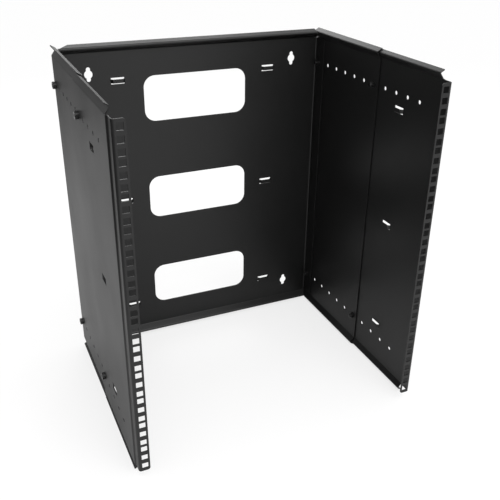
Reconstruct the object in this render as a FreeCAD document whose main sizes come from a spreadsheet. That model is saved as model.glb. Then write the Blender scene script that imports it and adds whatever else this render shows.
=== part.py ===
import FreeCAD, Part
import math
import os
import re
import Sketcher

# Wall mount open frame rack, 12 units high and of adjustable depth, in millimetres.
# X runs along the wall, Y points at the wall, Z is up. The origin lies at the middle
# of the rack's footprint, on the surface that its lower folded edges rest on.

SIZES = {
    # Equipment standard: hole columns, unit height and the long gap inside a unit.
    "rail_columns": 465.1,
    "unit_height": 44.45,
    "gap_in_unit": 15.875,
    "unit_count": 12,
    "square_hole": 9.5,
    "rail_end_margin": 9.65,
    "rail_inner_edge": 7.55,
    "rail_outer_edge": 10,
    # Folded sheets.
    "steel": 1.6,
    "slip_gap": 0.3,
    "bend": 1.2,
    "wide_bend": 2.4,
    "rail_corner": 4,
    "plain_front": 17,
    "joggle_run": 2.4,
    # Folded upper and lower edges: a band leans in, then a lip comes back out.
    "band_in": 6.5,
    "band_rise": 8.5,
    "lip_out": 6.5,
    "lip_rise": 3.8,
    # Rows of holes that set the depth.
    "step_pitch": 30.48,
    "step_count": 10,
    "free_steps": 4,
    "first_step_back": 69,
    "row_inset": 45.5,
    "bolt_hole": 6.6,
    "front_overlap": 16.5,
    "rear_overlap": 12.5,
    "corner_to_wall": 13,
    # Back plate.
    "plate_band_in": 13,
    "plate_lip_out": 13,
    "plate_end_inset": 11.2,
    "plate_mitre": 20,
    "flange_depth": 30,
    "flange_end": 2.2,
    "window_width": 190,
    "window_height": 80,
    "window_pitch": 184,
    "window_corner": 20,
    "keyhole_span": 374,
    "keyhole_inset": 36,
    "keyhole_round": 14,
    "keyhole_slot": 7,
    "keyhole_run": 17,
    # Lacing points: a bridge pushed out of the sheet between two slits.
    "slit_length": 23,
    "slit_height": 2.3,
    "bridge_width": 6.4,
    "bridge_rise": 4.2,
    "bridge_ramp": 3.5,
    "plate_lacing_span": 278,
    "plate_lacing_inset": 50,
    "side_lacing_back": 118,
    "side_lacing_inset": 70,
    # Fasteners.
    "shank": 6,
    "head_width": 12,
    "head_height": 6,
    "head_edge": 0.8,
    "socket_width": 5,
    "socket_depth": 3,
    "nut_width": 10,
    "nut_height": 5,
    "nut_bore": 6.1,
    "bolt_tail": 3,
}

# Lengths that follow from the sizes.
NEST = "(steel + slip_gap)"
RAIL_SIDE = "(rail_columns / 2 + rail_outer_edge)"
HALF_WIDTH = f"({RAIL_SIDE} + {NEST})"
HALF_OPENING = "(rail_columns / 2 - rail_inner_edge)"
HOLE_RUN = "((unit_count - 1) * unit_height + 2 * gap_in_unit)"
RAIL_LENGTH = f"({HOLE_RUN} + 2 * rail_end_margin)"
LIP_TILT = "(lip_out / sqrt(lip_out ^ 2 + lip_rise ^ 2))"
RAIL_FOOT = f"(band_rise + lip_rise + (2 * steel + slip_gap) * {LIP_TILT})"
RAIL_TOP = f"({RAIL_FOOT} + {RAIL_LENGTH})"
MID_HEIGHT = f"({RAIL_FOOT} + {RAIL_LENGTH} / 2)"
DEPTH = "(first_step_back + step_count * step_pitch + corner_to_wall)"
WALL = f"({DEPTH} / 2)"
RAIL_FACE = f"(-{DEPTH} / 2)"
FIRST_STEP = f"({RAIL_FACE} + first_step_back)"
SET_BOLT = f"({FIRST_STEP} + free_steps * step_pitch)"
CORNER_BOLT = f"({WALL} - corner_to_wall)"

doc = FreeCAD.newDocument("rack")
sheet = doc.addObject("Spreadsheet::Sheet", "Sizes")
for row, (alias, value) in enumerate(SIZES.items(), start=1):
    sheet.set(f"A{row}", alias)
    sheet.set(f"B{row}", str(value))
    sheet.setAlias(f"B{row}", alias)
doc.recompute()


def bound(text):
    """The same expression, with every size read from the sheet."""
    return re.sub(r"[a-z_]+", lambda word: f"Sizes.{word[0]}" if word[0] in SIZES else word[0], text)


def number(text):
    """What an expression gives with the sizes as they are."""
    return float(sheet.evalExpression(text))


def new_body(label):
    """A body whose label names its file."""
    body = doc.addObject("PartDesign::Body", label)
    body.Label = label
    return body


def new_sketch(body, role, offset):
    """A sketch on one of the body's origin planes, moved along that plane's normal."""
    sketch = body.newObject("Sketcher::SketchObject", "Sketch")
    plane = next(item for item in body.Origin.OriginFeatures if item.Role == role)
    sketch.AttachmentSupport = [(plane, "")]
    sketch.MapMode = "FlatFace"
    sketch.setExpression("AttachmentOffset.Base.z", bound(offset))
    return sketch


def fix(sketch, kind, first, expression):
    """A constraint whose value follows an expression."""
    value = abs(number(expression)) if kind in ("Distance", "Diameter", "Radius") else number(expression)
    index = sketch.addConstraint(Sketcher.Constraint(kind, *first, value))
    sketch.setExpression(f"Constraints[{index}]", bound(expression))


def fix_point(sketch, line, end, x, y):
    """Hold one point of a line, arc or circle at a place given by two expressions."""
    fix(sketch, "DistanceX", (-1, 1, line, end), x)
    fix(sketch, "DistanceY", (-1, 1, line, end), y)


def chain(sketch, points, closed, construction=False):
    """Straight lines through points that are given as pairs of expressions."""
    spots = [FreeCAD.Vector(number(x), number(y), 0) for x, y in points]
    last = len(points) if closed else len(points) - 1
    lines = []
    for start in range(last):
        end = (start + 1) % len(points)
        lines.append(sketch.addGeometry(Part.LineSegment(spots[start], spots[end]), construction))
    for line, (x, y) in zip(lines, points):
        fix_point(sketch, line, 1, x, y)
    for line, after in zip(lines, lines[1:]):
        sketch.addConstraint(Sketcher.Constraint("Coincident", line, 2, after, 1))
    if closed:
        sketch.addConstraint(Sketcher.Constraint("Coincident", lines[-1], 2, lines[0], 1))
    else:
        fix_point(sketch, lines[-1], 2, *points[-1])
    return lines


def circle(sketch, x, y, diameter):
    """A circle held at its centre."""
    centre = FreeCAD.Vector(number(x), number(y), 0)
    ring = sketch.addGeometry(Part.Circle(centre, FreeCAD.Vector(0, 0, 1), number(diameter) / 2))
    fix_point(sketch, ring, 3, x, y)
    fix(sketch, "Diameter", (ring,), diameter)


def rectangle(sketch, x, y, width, height):
    """A rectangle about its centre."""
    left, right = f"{x} - {width} / 2", f"{x} + {width} / 2"
    low, high = f"{y} - {height} / 2", f"{y} + {height} / 2"
    chain(sketch, [(left, low), (right, low), (right, high), (left, high)], closed=True)


def upright_slot(sketch, x, y, run, width):
    """A slot with round ends, whose end centres are a run apart."""
    arcs = []
    for turn, end in ((0, 1), (math.pi, -1)):
        level = f"{y} + {end} * {run} / 2"
        middle = FreeCAD.Vector(number(x), number(level), 0)
        ring = Part.Circle(middle, FreeCAD.Vector(0, 0, 1), number(f"{width} / 2"))
        arc = sketch.addGeometry(Part.ArcOfCircle(ring, turn, turn + math.pi))
        fix_point(sketch, arc, 3, x, level)
        fix_point(sketch, arc, 1, f"{x} + {end} * {width} / 2", level)
        fix(sketch, "DistanceY", (-1, 1, arc, 2), level)
        arcs.append(arc)
    for arc, other in (arcs, arcs[::-1]):
        from_point = sketch.getPoint(arc, 2)
        to_point = sketch.getPoint(other, 1)
        side = sketch.addGeometry(Part.LineSegment(from_point, to_point))
        sketch.addConstraint(Sketcher.Constraint("Coincident", arc, 2, side, 1))
        sketch.addConstraint(Sketcher.Constraint("Coincident", side, 2, other, 1))


def left_normals(points):
    """The unit normal on the left of each straight stretch."""
    normals = []
    for start, end in zip(points, points[1:]):
        run = (end - start).normalize()
        normals.append(FreeCAD.Vector(-run.y, run.x, 0))
    return normals


def shifted(points, distance):
    """An open outline moved to its left, with its corners kept sharp."""
    normals = left_normals(points)
    moved = [points[0] + normals[0] * distance]
    for point, before, after in zip(points[1:], normals, normals[1:]):
        moved.append(point + (before + after) * (distance / (1 + before.dot(after))))
    moved.append(points[-1] + normals[-1] * distance)
    return moved


def parallel_chain(sketch, guide, points, distance):
    """Lines on the left of the guide's, each held parallel to its own at a distance."""
    spots = shifted(points, number(distance))
    lines = [sketch.addGeometry(Part.LineSegment(*ends)) for ends in zip(spots, spots[1:])]
    for line, after in zip(lines, lines[1:]):
        sketch.addConstraint(Sketcher.Constraint("Coincident", line, 2, after, 1))
    for line, own in zip(lines, guide):
        sketch.addConstraint(Sketcher.Constraint("Parallel", line, own))
        fix(sketch, "Distance", (line, 1, own), distance)
    return lines, spots


def sheet_section(sketch, path, nest=""):
    """The section of a folded sheet, and where its bends lie.

    The path is the outermost sheet's outer face, with the steel on its left, and
    nest is how far inside that sheet this one lies."""
    points = [FreeCAD.Vector(number(x), number(y), 0) for x, y in path]
    guide = chain(sketch, path, closed=False, construction=bool(nest))
    near, near_spots = (parallel_chain(sketch, guide, points, nest) if nest else (guide, points))
    thickness = f"{nest} + steel" if nest else "steel"
    far, far_spots = parallel_chain(sketch, guide, points, thickness)
    for end, place in ((0, 1), (-1, 2)):
        first = near_spots[0] if end == 0 else near_spots[-1]
        second = far_spots[0] if end == 0 else far_spots[-1]
        cap = sketch.addGeometry(Part.LineSegment(first, second))
        sketch.addConstraint(Sketcher.Constraint("Coincident", cap, 1, near[end], place))
        sketch.addConstraint(Sketcher.Constraint("Coincident", cap, 2, far[end], place))
        sketch.addConstraint(Sketcher.Constraint("Perpendicular", cap, guide[end]))
        if nest:
            sketch.addConstraint(Sketcher.Constraint("PointOnObject", guide[end], place, cap))
    normals = left_normals(points)
    tight, wide = [], []
    for index in range(1, len(points) - 1):
        turns_left = normals[index - 1].cross(normals[index]).z > 0
        tight.append(far_spots[index] if turns_left else near_spots[index])
        wide.append(near_spots[index] if turns_left else far_spots[index])
    return tight, wide


def folded_edges(outer, sign, lean, back):
    """The outer face of a sheet whose upper and lower edges are folded.

    outer is the flat face, lean and back are the reach of the band and of the lip,
    and sign is -1 where the flat face looks the other way."""
    fold = f"{sign} * ({outer} - {lean})"
    tip = f"{sign} * ({outer} - {lean} + {back})"
    face = f"{sign} * {outer}"
    path = [(tip, f"{RAIL_FOOT} - band_rise - lip_rise"), (fold, f"{RAIL_FOOT} - band_rise"),
            (face, RAIL_FOOT), (face, RAIL_TOP),
            (fold, f"{RAIL_TOP} + band_rise"), (tip, f"{RAIL_TOP} + band_rise + lip_rise")]
    return path[::sign]


def pad(body, sketch, length, midplane=False, reverse=False):
    """Material along the sketch's normal."""
    feature = body.newObject("PartDesign::Pad", "Pad")
    feature.Profile = sketch
    feature.setExpression("Length", bound(length))
    feature.Midplane = midplane
    feature.Reversed = reverse
    doc.recompute()
    return feature


def pocket(body, sketch, depth, reverse=False):
    """A cut against the sketch's normal, which has to take something away."""
    before = body.Shape.Volume
    feature = body.newObject("PartDesign::Pocket", "Pocket")
    feature.Profile = sketch
    feature.setExpression("Length", bound(depth))
    feature.Reversed = reverse
    doc.recompute()
    if not body.Shape.Volume < before:
        raise RuntimeError(f"a cut in {body.Label} removes nothing")
    return feature


def repeat(body, feature, sketch, axis, length, count):
    """Copies of a feature along one axis of its sketch."""
    pattern = body.newObject("PartDesign::LinearPattern", "LinearPattern")
    pattern.Originals = [feature]
    pattern.Direction = (sketch, [axis])
    pattern.setExpression("Length", bound(length))
    pattern.setExpression("Occurrences", bound(count))
    body.Tip = pattern
    doc.recompute()
    return pattern


def dress_edges(body, kind, size, expression, wanted):
    """A fillet or a chamfer on every edge of the body's last feature that is wanted."""
    base = body.Tip
    names = [f"Edge{index}" for index, edge in enumerate(base.Shape.Edges, start=1) if wanted(edge)]
    feature = body.newObject(f"PartDesign::{kind}", kind)
    feature.Base = (base, names)
    feature.setExpression(size, bound(expression))
    doc.recompute()


def round_edges(body, radius, wanted):
    dress_edges(body, "Fillet", "Radius", radius, wanted)


def straight_edge_at(spots, across, up, along):
    """A test for straight edges that run along one axis through any of some spots."""
    def wanted(edge):
        if len(edge.Vertexes) != 2 or edge.Curve.TypeId != "Part::GeomLine":
            return False
        start, end = (vertex.Point for vertex in edge.Vertexes)
        if abs((end - start).normalize().dot(along)) < 0.999:
            return False
        return any(math.hypot(across.dot(start) - spot.x, up.dot(start) - spot.y) < 0.01 for spot in spots)
    return wanted


X_AXIS = FreeCAD.Vector(1, 0, 0)
Y_AXIS = FreeCAD.Vector(0, 1, 0)
Z_AXIS = FreeCAD.Vector(0, 0, 1)


def round_bends(body, tight, wide, across, up, along, radius="bend"):
    """Bend radii at the folds, inside and outside the sheet."""
    round_edges(body, radius, straight_edge_at(tight, across, up, along))
    round_edges(body, f"{radius} + steel", straight_edge_at(wide, across, up, along))


def cut_plane(sign, face):
    """Where a sketch lies whose cut runs towards -X through a side sheet."""
    return f"{face} + steel" if sign > 0 else f"2 * steel - {face}"


def bolt_row(body, sign, face, start, count):
    """Two rows of bolt holes along a side sheet, one near the top and one near the bottom."""
    sketch = new_sketch(body, "YZ_Plane", cut_plane(sign, face))
    for height in (f"{RAIL_FOOT} + row_inset", f"{RAIL_TOP} - row_inset"):
        circle(sketch, start, height, "bolt_hole")
    holes = pocket(body, sketch, "3 * steel")
    repeat(body, holes, sketch, "H_Axis", f"({count} - 1) * step_pitch", count)


def lacing_points(body, inset, window_role, window_offset, spots, bridge):
    """Three levels of lacing points: windows cut first, then a bridge across each.

    spots are the places along the sheet, and bridge gives the bridge's path there."""
    lowest = f"{RAIL_FOOT} + {inset}"
    climb = f"{RAIL_LENGTH} - 2 * {inset}"
    windows = new_sketch(body, window_role, window_offset)
    for spot in spots:
        rectangle(windows, spot, lowest, "slit_length", "(bridge_width + 2 * slit_height)")
    cut = pocket(body, windows, "3 * steel")
    repeat(body, cut, windows, "V_Axis", climb, "3")
    section = new_sketch(body, "XY_Plane", f"{lowest} - bridge_width / 2")
    for spot in spots:
        sheet_section(section, bridge(spot))
    bridges = pad(body, section, "bridge_width")
    repeat(body, bridges, section, "N_Axis", climb, "3")


def bridge_steps(spot):
    """How far along the sheet and how far off it each corner of a bridge lies."""
    half = "slit_length / 2"
    return [(f"{spot} - {half} - steel", "0"), (f"{spot} - {half}", "0"),
            (f"{spot} - {half} + bridge_ramp", "bridge_rise"), (f"{spot} + {half} - bridge_ramp", "bridge_rise"),
            (f"{spot} + {half}", "0"), (f"{spot} + {half} + steel", "0")]


def side_lacing(body, sign):
    """Lacing points in the front panel's side, with their bridges inside the rack."""
    def bridge(spot):
        path = [(f"{sign} * ({HALF_WIDTH} - {rise})", along) for along, rise in bridge_steps(spot)]
        return path[::sign]
    spot = f"{RAIL_FACE} + side_lacing_back"
    lacing_points(body, "side_lacing_inset", "YZ_Plane", cut_plane(sign, HALF_WIDTH), [spot], bridge)


def make_front_panel(name, sign):
    """Outer side sheet and the rail with square holes, folded from one blank."""
    body = new_body(name)
    rear_edge = f"({SET_BOLT} + front_overlap)"
    section = new_sketch(body, "XZ_Plane", f"-{rear_edge}")
    joggle = f"{RAIL_FACE} + plain_front"
    joggle_end = f"{joggle} + joggle_run"
    lips_end = f"{joggle_end} + 2 * steel"
    tight, wide = sheet_section(section, folded_edges(HALF_WIDTH, sign, "band_in", "lip_out"))
    pad(body, section, f"{rear_edge} - ({lips_end})")
    round_bends(body, tight, wide, X_AXIS, Z_AXIS, Y_AXIS)

    angle = new_sketch(body, "XY_Plane", RAIL_FOOT)
    path = [(f"{sign} * {HALF_OPENING}", RAIL_FACE), (f"{sign} * {RAIL_SIDE}", RAIL_FACE),
            (f"{sign} * {RAIL_SIDE}", joggle), (f"{sign} * {HALF_WIDTH}", joggle_end),
            (f"{sign} * {HALF_WIDTH}", f"{lips_end} + steel")]
    tight, wide = sheet_section(angle, path[::sign])
    pad(body, angle, RAIL_LENGTH)
    corner = 0 if sign > 0 else -1
    round_bends(body, [tight.pop(corner)], [wide.pop(corner)], X_AXIS, Y_AXIS, Z_AXIS, "wide_bend")
    round_bends(body, tight, wide, X_AXIS, Y_AXIS, Z_AXIS)
    free_edge = number(HALF_OPENING) * sign
    ends = [FreeCAD.Vector(free_edge, number(level), 0) for level in (RAIL_FOOT, RAIL_TOP)]
    round_edges(body, "rail_corner", straight_edge_at(ends, X_AXIS, Z_AXIS, Y_AXIS))

    squares = new_sketch(body, "XZ_Plane", f"-{RAIL_FACE} + steel")
    for step in range(3):
        height = f"{RAIL_FOOT} + rail_end_margin + {step} * gap_in_unit"
        rectangle(squares, f"{sign} * rail_columns / 2", height, "square_hole", "square_hole")
    first_unit = pocket(body, squares, "3 * steel")
    repeat(body, first_unit, squares, "V_Axis", "(unit_count - 1) * unit_height", "unit_count")
    bolt_row(body, sign, HALF_WIDTH, FIRST_STEP, "(free_steps + 1)")
    side_lacing(body, sign)
    return body


def make_rear_panel(name, sign):
    """Inner side sheet, which the front panel laps and slides along."""
    body = new_body(name)
    section = new_sketch(body, "XZ_Plane", f"-{WALL}")
    tight, wide = sheet_section(section, folded_edges(HALF_WIDTH, sign, "band_in", "lip_out"), NEST)
    pad(body, section, f"{WALL} - {SET_BOLT} + rear_overlap")
    round_bends(body, tight, wide, X_AXIS, Z_AXIS, Y_AXIS)
    face = f"({HALF_WIDTH} - {NEST})"
    bolt_row(body, sign, face, SET_BOLT, "(step_count - free_steps + 1)")
    return body


def slant_left_end(body, level, reverse):
    """The slanting left end of the back plate's lip at one level."""
    end = f"({HALF_WIDTH} - plate_end_inset)"
    sketch = new_sketch(body, "XY_Plane", level)
    fold = (f"-({end} + steel)", f"{WALL} - plate_band_in - steel")
    corner = (f"-({end} + steel)", f"{WALL} + steel")
    tip = (f"plate_mitre - {end}", f"{WALL} + steel")
    chain(sketch, [fold, corner, tip], closed=True)
    pocket(body, sketch, "lip_rise + steel", reverse=reverse)


def make_back_plate():
    """Wall side sheet with three windows, keyholes, lacing points and side flanges."""
    body = new_body("back_plate")
    section = new_sketch(body, "YZ_Plane", "0")
    tight, wide = sheet_section(section, folded_edges(WALL, 1, "plate_band_in", "plate_lip_out"))
    pad(body, section, f"2 * ({HALF_WIDTH} - plate_end_inset)", midplane=True)
    round_bends(body, tight, wide, Y_AXIS, Z_AXIS, X_AXIS)

    channel = new_sketch(body, "XY_Plane", f"{RAIL_FOOT} + flange_end")
    face = f"({HALF_WIDTH} - 2 * {NEST})"
    tip = f"{WALL} - flange_depth"
    chain(channel, [(f"-{face}", tip), (f"-{face} + steel", tip), (f"-{face} + steel", f"{WALL} - steel"),
                    (f"{face} - steel", f"{WALL} - steel"), (f"{face} - steel", tip), (face, tip),
                    (face, WALL), (f"-{face}", WALL)], closed=True)
    pad(body, channel, f"{RAIL_LENGTH} - 2 * flange_end")
    for radius, inset in (("wide_bend", "steel"), ("wide_bend + steel", "0")):
        spots = [FreeCAD.Vector(sign * number(f"{face} - {inset}"), number(f"{WALL} - {inset}"), 0)
                 for sign in (1, -1)]
        round_edges(body, radius, straight_edge_at(spots, X_AXIS, Y_AXIS, Z_AXIS))
    slant_left_end(body, f"{RAIL_TOP} + band_rise + lip_rise + 2 * steel", reverse=False)
    slant_left_end(body, f"{RAIL_FOOT} - band_rise - lip_rise - 2 * steel", reverse=True)

    behind = f"2 * steel - {WALL}"
    window = new_sketch(body, "XZ_Plane", behind)
    rectangle(window, "0", f"{MID_HEIGHT} - window_pitch", "window_width", "window_height")
    lowest = pocket(body, window, "3 * steel")
    repeat(body, lowest, window, "V_Axis", "2 * window_pitch", "3")
    half = number("window_width / 2")
    corners = [FreeCAD.Vector(side * half, number(MID_HEIGHT) + step * number("window_pitch")
                              + end * number("window_height / 2"), 0)
               for side in (1, -1) for step in (-1, 0, 1) for end in (1, -1)]
    round_edges(body, "window_corner", straight_edge_at(corners, X_AXIS, Z_AXIS, Y_AXIS))

    keyholes = [(f"{sign} * keyhole_span / 2", height) for sign in (1, -1)
                for height in (f"{RAIL_FOOT} + keyhole_inset", f"{RAIL_TOP} - keyhole_inset")]
    rounds = new_sketch(body, "XZ_Plane", behind)
    for x, height in keyholes:
        circle(rounds, x, height, "keyhole_round")
    pocket(body, rounds, "3 * steel")
    slots = new_sketch(body, "XZ_Plane", behind)
    for x, height in keyholes:
        upright_slot(slots, x, height, "keyhole_run", "keyhole_slot")
    pocket(body, slots, "3 * steel")

    def bridge(spot):
        return [(along, f"{WALL} - {rise}") for along, rise in bridge_steps(spot)][::-1]
    spots = [f"{sign} * plate_lacing_span / 2" for sign in (1, -1)]
    lacing_points(body, "plate_lacing_inset", "XZ_Plane", behind, spots, bridge)

    corner_holes = new_sketch(body, "YZ_Plane", f"{HALF_WIDTH}")
    for height in (f"{RAIL_FOOT} + row_inset", f"{RAIL_TOP} - row_inset"):
        circle(corner_holes, CORNER_BOLT, height, "bolt_hole")
    pocket(body, corner_holes, f"2 * {HALF_WIDTH}")
    return body


def hexagon(sketch, width):
    """A hexagon about the origin, with two corners on the sketch's first axis."""
    corner = f"({width} / sqrt(3))"
    points = [(corner, "0"), (f"{corner} / 2", f"{width} / 2"), (f"-{corner} / 2", f"{width} / 2"),
              (f"-{corner}", "0"), (f"-{corner} / 2", f"-{width} / 2"), (f"{corner} / 2", f"-{width} / 2")]
    chain(sketch, points, closed=True)


def stand_at(body, sign, x, y, height):
    """Turn a fastener made along +Z so that its head looks out of its side, and place it."""
    body.Placement = FreeCAD.Placement(FreeCAD.Vector(), FreeCAD.Rotation(Y_AXIS, 90 * sign))
    body.setExpression("Placement.Base.x", bound(f"{sign} * {x}"))
    body.setExpression("Placement.Base.y", bound(y))
    body.setExpression("Placement.Base.z", bound(height))


def make_bolt(name, sign, face, grip, y, height):
    """Socket head bolt, with its head on the outside of a side sheet."""
    body = new_body(name)
    head = new_sketch(body, "XY_Plane", "0")
    circle(head, "0", "0", "head_width")
    pad(body, head, "head_height")
    top = number("head_height")
    dress_edges(body, "Chamfer", "Size", "head_edge",
                lambda edge: edge.Curve.TypeId == "Part::GeomCircle" and edge.Vertexes[0].Point.z > top - 0.01)
    socket = new_sketch(body, "XY_Plane", "head_height")
    hexagon(socket, "socket_width")
    pocket(body, socket, "socket_depth")
    shank = new_sketch(body, "XY_Plane", "0")
    circle(shank, "0", "0", "shank")
    pad(body, shank, f"{grip} + nut_height + bolt_tail", reverse=True)
    stand_at(body, sign, face, y, height)
    return body


def make_nut(name, sign, face, grip, y, height):
    """Hexagon nut on the inner face of the sheets that its bolt clamps."""
    body = new_body(name)
    outline = new_sketch(body, "XY_Plane", f"-{grip}")
    hexagon(outline, "nut_width")
    circle(outline, "0", "0", "nut_bore")
    pad(body, outline, "nut_height", reverse=True)
    stand_at(body, sign, face, y, height)
    return body


def make_fasteners():
    """A bolt and a nut at the eight places where two sheets lap."""
    made = []
    grip = "(2 * steel + slip_gap)"
    places = (("set", HALF_WIDTH, SET_BOLT), ("corner", f"({HALF_WIDTH} - {NEST})", CORNER_BOLT))
    for side, sign in (("left", -1), ("right", 1)):
        for level, height in (("lower", f"{RAIL_FOOT} + row_inset"), ("upper", f"{RAIL_TOP} - row_inset")):
            for job, face, y in places:
                name = f"{side}_{level}_{job}"
                made.append(make_bolt(f"{name}_bolt", sign, face, grip, y, height))
                made.append(make_nut(f"{name}_nut", sign, face, grip, y, height))
    return made


pieces = [make_back_plate()]
for side, sign in (("left", -1), ("right", 1)):
    pieces.append(make_rear_panel(f"{side}_rear_panel", sign))
    pieces.append(make_front_panel(f"{side}_front_panel", sign))
pieces += make_fasteners()

doc.recompute()
for item in doc.Objects:
    if "Invalid" in item.State or "Error" in item.State:
        raise RuntimeError(f"{item.Label} failed: {item.State}")
for body in pieces:
    if body.Shape.isNull() or not body.Shape.isValid() or len(body.Shape.Solids) != 1:
        raise RuntimeError(f"{body.Label} is not one sound solid")

os.makedirs("parts", exist_ok=True)
for body in pieces:
    body.Shape.exportStep(f"parts/{body.Label}.step")
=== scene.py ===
"""The wall mount open frame rack as it stands in the photo: black, on a white floor, lit softly."""

import math

import bpy
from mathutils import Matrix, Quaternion, Vector


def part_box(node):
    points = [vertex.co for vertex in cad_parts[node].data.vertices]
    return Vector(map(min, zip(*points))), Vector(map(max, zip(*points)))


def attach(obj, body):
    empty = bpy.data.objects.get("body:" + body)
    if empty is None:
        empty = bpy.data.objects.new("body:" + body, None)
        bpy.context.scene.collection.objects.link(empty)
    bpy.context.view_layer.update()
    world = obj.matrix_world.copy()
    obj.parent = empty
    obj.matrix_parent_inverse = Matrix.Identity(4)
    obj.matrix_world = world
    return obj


# The camera: where it stands and looks in metres, and its lens and sensor in millimetres
CAMERA_PLACE = Vector((-0.4135, -0.9609, 0.7829))
CAMERA_AIM = Vector((0.0219, 0.0, 0.2448))
CAMERA_ROLL = math.radians(0.74)
CAMERA_LENS = 49.83
SENSOR_WIDTH = 36.0

# The room: its bright side, both strengths, and where one turns into the other
LIGHT_SIDE = Vector((0.15, -0.5, 0.9))
DIM_STRENGTH = 0.4
BRIGHT_STRENGTH = 1.0
DIM_BELOW = -0.45
BRIGHT_ABOVE = 0.5

# The floor, whose paper is painted dark between two places to the left: painted shade that only
# bounce light and reflections show
FLOOR_SIZE = 12.0
FLOOR_COLOUR = 0.75
FLOOR_SPREAD = 0.005
# painted shade: the paper's grey far to the left, and the two places where it starts and ends
FLOOR_PAINTED_SHADE = 0.08
PAINTED_SHADE_START = -0.48
PAINTED_SHADE_END = -1.15
FLOOR_SHADOW = 0.28
FLOOR_GLOW = 0.71
FLOOR_ROUGHNESS = 0.9
FLOOR_SHINE = 0.1

# The two soft lamps
FRONT_PLACE = Vector((0.1, -1.5, 1.9))
FRONT_AIM = Vector((0.0, -0.5, 0.0))
FRONT_SIZE = 1.6
FRONT_POWER = 26.0
TOP_PLACE = Vector((0.3, 1.7, 1.4))
TOP_AIM = Vector((0.0, 0.19, 0.57))
TOP_SIZE = 1.0
TOP_POWER = 8.5

SHEETS = (
    "back_plate",
    "left_rear_panel",
    "right_rear_panel",
    "left_front_panel",
    "right_front_panel",
)
FASTENER_PLACES = (
    "left_lower_corner",
    "left_upper_corner",
    "right_lower_corner",
    "right_upper_corner",
    "left_lower_set",
    "left_upper_set",
    "right_lower_set",
    "right_upper_set",
)

# The two finishes, each value with how far it strays to both sides
POWDER_COLOUR = 0.002
POWDER_COLOUR_SPREAD = 0.0003
POWDER_ROUGHNESS = 0.43
POWDER_ROUGHNESS_SPREAD = 0.03
OXIDE_DARKEST = 0.0525
OXIDE_LIGHTEST = 0.105
OXIDE_ROUGHNESS = 0.28
OXIDE_ROUGHNESS_SPREAD = 0.06
EDGE_RADIUS = 0.0004
EDGE_SAMPLES = 6

# Noise patterns, each as its scale and its detail
PEEL = (620.0, 3.0)
CLOUD = (9.0, 4.0)
GRAIN = (1500.0, 2.0)
FIBRE = (40.0, 2.0)
NOISE_LOW = 0.25
NOISE_HIGH = 0.75

# Bumps, each as its strength and its height in metres
PEEL_BUMP = (0.12, 0.0004)
GRAIN_BUMP = (0.1, 0.0002)

# The tabs at the plate's corners: the sheet, the plate's face, middle and ends, and the band's lean
STEEL = 0.0016
WALL_FACE = 0.1934
MID_HEIGHT = 0.28532
PLATE_END = 0.23325
HALF_PLATE = 0.27
TAB_FOOT = 0.0019
TAB_REACH = (0.2403, 0.2398, 0.2344)
BAND_LEAN = 0.0104
BAND_CLIMB = 0.0068

# The bolts' threads
SHANK = 0.006
THREAD_PITCH = 0.001
THREAD_DEPTH = 0.00055
CREST_RISE = 0.0002
TAIL = 0.003
TURN_STEPS = 32


def new_material(name):
    """A new material, with the nodes and the links of its tree."""
    material = bpy.data.materials.new(name)
    material.use_nodes = True
    return material, material.node_tree.nodes, material.node_tree.links


def grey(level):
    """A neutral colour of the given level."""
    return (level, level, level, 1.0)


def noise(nodes, links, source, pattern):
    """A noise pattern in the object's own coordinates."""
    scale, detail = pattern
    node = nodes.new("ShaderNodeTexNoise")
    node.inputs["Scale"].default_value = scale
    node.inputs["Detail"].default_value = detail
    links.new(source.outputs["Object"], node.inputs["Vector"])
    return node


def mapped(nodes, links, value, limits, results):
    """A node whose result runs evenly through the results as the value runs through the limits."""
    node = nodes.new("ShaderNodeMapRange")
    node.inputs["From Min"].default_value = limits[0]
    node.inputs["From Max"].default_value = limits[1]
    node.inputs["To Min"].default_value = results[0]
    node.inputs["To Max"].default_value = results[1]
    links.new(value, node.inputs["Value"])
    return node


def eased(nodes, links, value, limits, results):
    """The same with a soft start and a soft end."""
    node = mapped(nodes, links, value, limits, results)
    node.interpolation_type = "SMOOTHSTEP"
    return node


def around(nodes, links, factor, middle, spread):
    """A value that strays from its middle to both sides with the noise."""
    results = (middle - spread, middle + spread)
    node = mapped(nodes, links, factor.outputs["Fac"], (NOISE_LOW, NOISE_HIGH), results)
    return node.outputs["Result"]


def blended(nodes, links, factor):
    """A node that blends the colour A into the colour B."""
    node = nodes.new("ShaderNodeMix")
    node.data_type = "RGBA"
    links.new(factor, node.inputs["Factor"])
    return node


def grey_between(nodes, links, factor, low, high):
    """A neutral colour that runs from low to high with the noise."""
    node = blended(nodes, links, factor.outputs["Fac"])
    node.inputs["A"].default_value = grey(low)
    node.inputs["B"].default_value = grey(high)
    return node.outputs["Result"]


def bumped(nodes, links, factor, bump):
    """A bump made from the noise, over edges that are softened as a coat softens them."""
    strength, height = bump
    edges = nodes.new("ShaderNodeBevel")
    edges.samples = EDGE_SAMPLES
    edges.inputs["Radius"].default_value = EDGE_RADIUS
    node = nodes.new("ShaderNodeBump")
    links.new(edges.outputs["Normal"], node.inputs["Normal"])
    node.inputs["Strength"].default_value = strength
    node.inputs["Distance"].default_value = height
    links.new(factor.outputs["Fac"], node.inputs["Height"])
    return node.outputs["Normal"]


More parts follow.
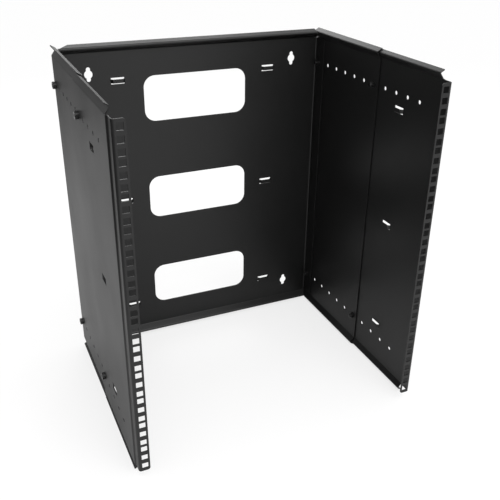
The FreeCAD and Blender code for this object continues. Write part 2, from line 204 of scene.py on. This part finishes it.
def powder_coat():
    """Black powder coat: satin, with a fine orange peel and a faint cloudiness."""
    material, nodes, links = new_material("powder_coated_steel")
    shader = nodes["Principled BSDF"]
    source = nodes.new("ShaderNodeTexCoord")
    peel = noise(nodes, links, source, PEEL)
    cloud = noise(nodes, links, source, CLOUD)
    darkest = POWDER_COLOUR - POWDER_COLOUR_SPREAD
    lightest = POWDER_COLOUR + POWDER_COLOUR_SPREAD
    links.new(grey_between(nodes, links, cloud, darkest, lightest), shader.inputs["Base Color"])
    links.new(
        around(nodes, links, cloud, POWDER_ROUGHNESS, POWDER_ROUGHNESS_SPREAD),
        shader.inputs["Roughness"],
    )
    links.new(bumped(nodes, links, peel, PEEL_BUMP), shader.inputs["Normal"])
    return material


def black_oxide():
    """Blackened steel of the bolts and nuts: bare metal under a thin dark skin."""
    material, nodes, links = new_material("black_fastener")
    shader = nodes["Principled BSDF"]
    source = nodes.new("ShaderNodeTexCoord")
    grain = noise(nodes, links, source, GRAIN)
    links.new(
        grey_between(nodes, links, grain, OXIDE_DARKEST, OXIDE_LIGHTEST),
        shader.inputs["Base Color"],
    )
    links.new(
        around(nodes, links, grain, OXIDE_ROUGHNESS, OXIDE_ROUGHNESS_SPREAD),
        shader.inputs["Roughness"],
    )
    shader.inputs["Metallic"].default_value = 1.0
    links.new(bumped(nodes, links, grain, GRAIN_BUMP), shader.inputs["Normal"])
    return material


def paper_with_painted_shade(nodes, links, source):
    """The paper's own white, painted dark some way out to the left: a painted shade that darkens what
    the floor bounces and reflects there.
    """
    fibre = noise(nodes, links, source, FIBRE)
    place = nodes.new("ShaderNodeSeparateXYZ")
    links.new(source.outputs["Object"], place.inputs["Vector"])
    # painted shade: the paper's colour turns dark towards the left
    painted_shade = eased(nodes, links, place.outputs["X"], (PAINTED_SHADE_END, PAINTED_SHADE_START), (0.0, 1.0))
    paper = blended(nodes, links, painted_shade.outputs["Result"])
    paper.inputs["A"].default_value = grey(FLOOR_PAINTED_SHADE)
    links.new(
        grey_between(nodes, links, fibre, FLOOR_COLOUR - FLOOR_SPREAD, FLOOR_COLOUR + FLOOR_SPREAD),
        paper.inputs["B"],
    )
    return paper.outputs["Result"]


def floor_finish():
    """White paper: it bounces light as white but for a painted shade to the left, and to the camera
    it glows but for the soft shadow.
    """
    material, nodes, links = new_material("white_floor")
    shader = nodes["Principled BSDF"]
    source = nodes.new("ShaderNodeTexCoord")
    path = nodes.new("ShaderNodeLightPath")
    seen = blended(nodes, links, path.outputs["Is Camera Ray"])
    links.new(paper_with_painted_shade(nodes, links, source), seen.inputs["A"])
    seen.inputs["B"].default_value = grey(FLOOR_SHADOW)
    links.new(seen.outputs["Result"], shader.inputs["Base Color"])
    glow = mapped(nodes, links, path.outputs["Is Camera Ray"], (0.0, 1.0), (0.0, FLOOR_GLOW))
    links.new(glow.outputs["Result"], shader.inputs["Emission Strength"])
    shader.inputs["Emission Color"].default_value = grey(1.0)
    shader.inputs["Roughness"].default_value = FLOOR_ROUGHNESS
    shader.inputs["Specular IOR Level"].default_value = FLOOR_SHINE
    return material


def dress(piece, material):
    """Gives one piece its finish and nothing else."""
    piece.data.materials.clear()
    piece.data.materials.append(material)


def add_mesh(name, points, faces):
    """A new mesh object in the scene."""
    mesh = bpy.data.meshes.new(name)
    mesh.from_pydata(points, [], faces)
    mesh.update()
    piece = bpy.data.objects.new(name, mesh)
    bpy.context.scene.collection.objects.link(piece)
    return piece


def add_floor():
    """The white floor below the rack."""
    half = FLOOR_SIZE / 2
    corners = [(-half, -half, 0.0), (half, -half, 0.0), (half, half, 0.0), (-half, half, 0.0)]
    floor = add_mesh("floor", corners, [(0, 1, 2, 3)])
    dress(floor, floor_finish())


def light_room():
    """A white room, bright in front and above, that the camera sees as plain white."""
    world = bpy.data.worlds.new("white_room")
    bpy.context.scene.world = world
    world.use_nodes = True
    nodes = world.node_tree.nodes
    links = world.node_tree.links
    path = nodes.new("ShaderNodeLightPath")
    source = nodes.new("ShaderNodeTexCoord")
    facing = nodes.new("ShaderNodeVectorMath")
    facing.operation = "DOT_PRODUCT"
    facing.inputs[1].default_value = LIGHT_SIDE.normalized()
    links.new(source.outputs["Generated"], facing.inputs[0])
    limits = (DIM_BELOW, BRIGHT_ABOVE)
    strengths = (DIM_STRENGTH, BRIGHT_STRENGTH)
    room = eased(nodes, links, facing.outputs["Value"], limits, strengths)
    strength = nodes.new("ShaderNodeMix")
    strength.inputs["B"].default_value = 1.0
    links.new(path.outputs["Is Camera Ray"], strength.inputs["Factor"])
    links.new(room.outputs["Result"], strength.inputs["A"])
    background = nodes["Background"]
    background.inputs["Color"].default_value = grey(1.0)
    links.new(strength.outputs["Result"], background.inputs["Strength"])


def add_lamp(name, place, aim, size, power):
    """One soft lamp with a square face that looks at a point."""
    lamp = bpy.data.lights.new(name, "AREA")
    lamp.shape = "SQUARE"
    lamp.size = size
    lamp.energy = power
    holder = bpy.data.objects.new(name, lamp)
    holder.location = place
    holder.rotation_mode = "QUATERNION"
    holder.rotation_quaternion = (aim - place).to_track_quat("-Z", "Y")
    bpy.context.scene.collection.objects.link(holder)


def add_camera():
    """The camera where the photo was taken from."""
    lens = bpy.data.cameras.new("camera")
    lens.sensor_width = SENSOR_WIDTH
    lens.lens = CAMERA_LENS
    holder = bpy.data.objects.new("camera", lens)
    holder.location = CAMERA_PLACE
    holder.rotation_mode = "QUATERNION"
    level = (CAMERA_AIM - CAMERA_PLACE).to_track_quat("-Z", "Y")
    holder.rotation_quaternion = level @ Quaternion((0.0, 0.0, 1.0), CAMERA_ROLL)
    bpy.context.scene.collection.objects.link(holder)
    bpy.context.scene.camera = holder


def add_thread(place, material):
    """The thread that stands out of a nut, as one turning ridge on the bolt's bare end."""
    low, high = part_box(place + "_bolt")
    towards = 1.0 if low[0] < 0 else -1.0
    tip = high[0] if towards > 0 else low[0]
    centre_y = (low[1] + high[1]) / 2
    centre_z = (low[2] + high[2]) / 2
    root = SHANK / 2 - THREAD_DEPTH
    crest = SHANK / 2 + CREST_RISE
    ridge = ((0.0, root), (THREAD_PITCH / 2, crest), (THREAD_PITCH, root))
    turns = int(TAIL / THREAD_PITCH)
    points = []
    faces = []
    for step in range(turns * TURN_STEPS + 1):
        angle = 2 * math.pi * step / TURN_STEPS
        along = THREAD_PITCH * step / TURN_STEPS
        for offset, radius in ridge:
            back = TAIL + THREAD_PITCH / 2 - along - offset
            y = centre_y + radius * math.cos(angle)
            z = centre_z + radius * math.sin(angle)
            points.append((tip - towards * back, y, z))
    row = len(ridge)
    for step in range(turns * TURN_STEPS):
        for edge in range(row - 1):
            first = row * step + edge
            faces.append((first, first + 1, first + row + 1, first + row))
    thread = add_mesh(place + "_thread", points, faces)
    dress(thread, material)
    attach(thread, "root")


def add_corner_tab(name, side, end, material):
    """The tab that closes a corner of the plate between its folded edge and the side sheet.

    side is -1 at the left and 1 at the right, end is -1 at the bottom and 1 at the top."""
    lean = Vector((-BAND_LEAN, BAND_CLIMB)).normalized()
    inward = Vector((-lean.y, lean.x))
    forward = Vector((-1.0, 0.0))
    levels = (
        (Vector((WALL_FACE, HALF_PLATE - TAB_FOOT)), forward),
        (Vector((WALL_FACE, HALF_PLATE)), (forward + inward).normalized()),
        (Vector((WALL_FACE - BAND_LEAN, HALF_PLATE + BAND_CLIMB)), inward),
    )
    # Four points at each level: near and far across, on the sheet's face and behind it
    points = []
    for (spot, towards), reach in zip(levels, TAB_REACH):
        for back in (spot, spot + towards * STEEL):
            for across in (PLATE_END, reach):
                points.append((side * across, back.x, MID_HEIGHT + end * back.y))
    ring = (0, 1, 3, 2)
    last = len(points) - len(ring)
    faces = [ring, tuple(last + corner for corner in ring)]
    for level in range(0, last, len(ring)):
        for first, second in zip(ring, ring[1:] + ring[:1]):
            faces.append(
                (level + first, level + second, level + second + len(ring), level + first + len(ring))
            )
    tab = add_mesh(name, points, faces)
    dress(tab, material)
    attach(tab, "root")


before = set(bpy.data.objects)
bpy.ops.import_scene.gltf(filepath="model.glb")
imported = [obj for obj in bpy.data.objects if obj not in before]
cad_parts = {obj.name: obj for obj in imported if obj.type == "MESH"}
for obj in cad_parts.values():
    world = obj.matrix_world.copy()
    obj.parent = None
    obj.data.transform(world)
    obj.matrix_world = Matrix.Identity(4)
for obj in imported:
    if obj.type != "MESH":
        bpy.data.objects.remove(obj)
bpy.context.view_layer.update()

sheet_finish = powder_coat()
fastener_finish = black_oxide()
for node in SHEETS:
    dress(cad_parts[node], sheet_finish)
for place in FASTENER_PLACES:
    dress(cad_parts[place + "_bolt"], fastener_finish)
    dress(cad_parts[place + "_nut"], fastener_finish)
    add_thread(place, fastener_finish)

for side, side_name in ((-1, "left"), (1, "right")):
    for end, end_name in ((-1, "lower"), (1, "upper")):
        add_corner_tab(side_name + "_" + end_name + "_corner_tab", side, end, sheet_finish)

add_floor()
light_room()
add_lamp("front_lamp", FRONT_PLACE, FRONT_AIM, FRONT_SIZE, FRONT_POWER)
add_lamp("top_lamp", TOP_PLACE, TOP_AIM, TOP_SIZE, TOP_POWER)
add_camera()

scene = bpy.context.scene
scene.view_settings.view_transform = "Standard"
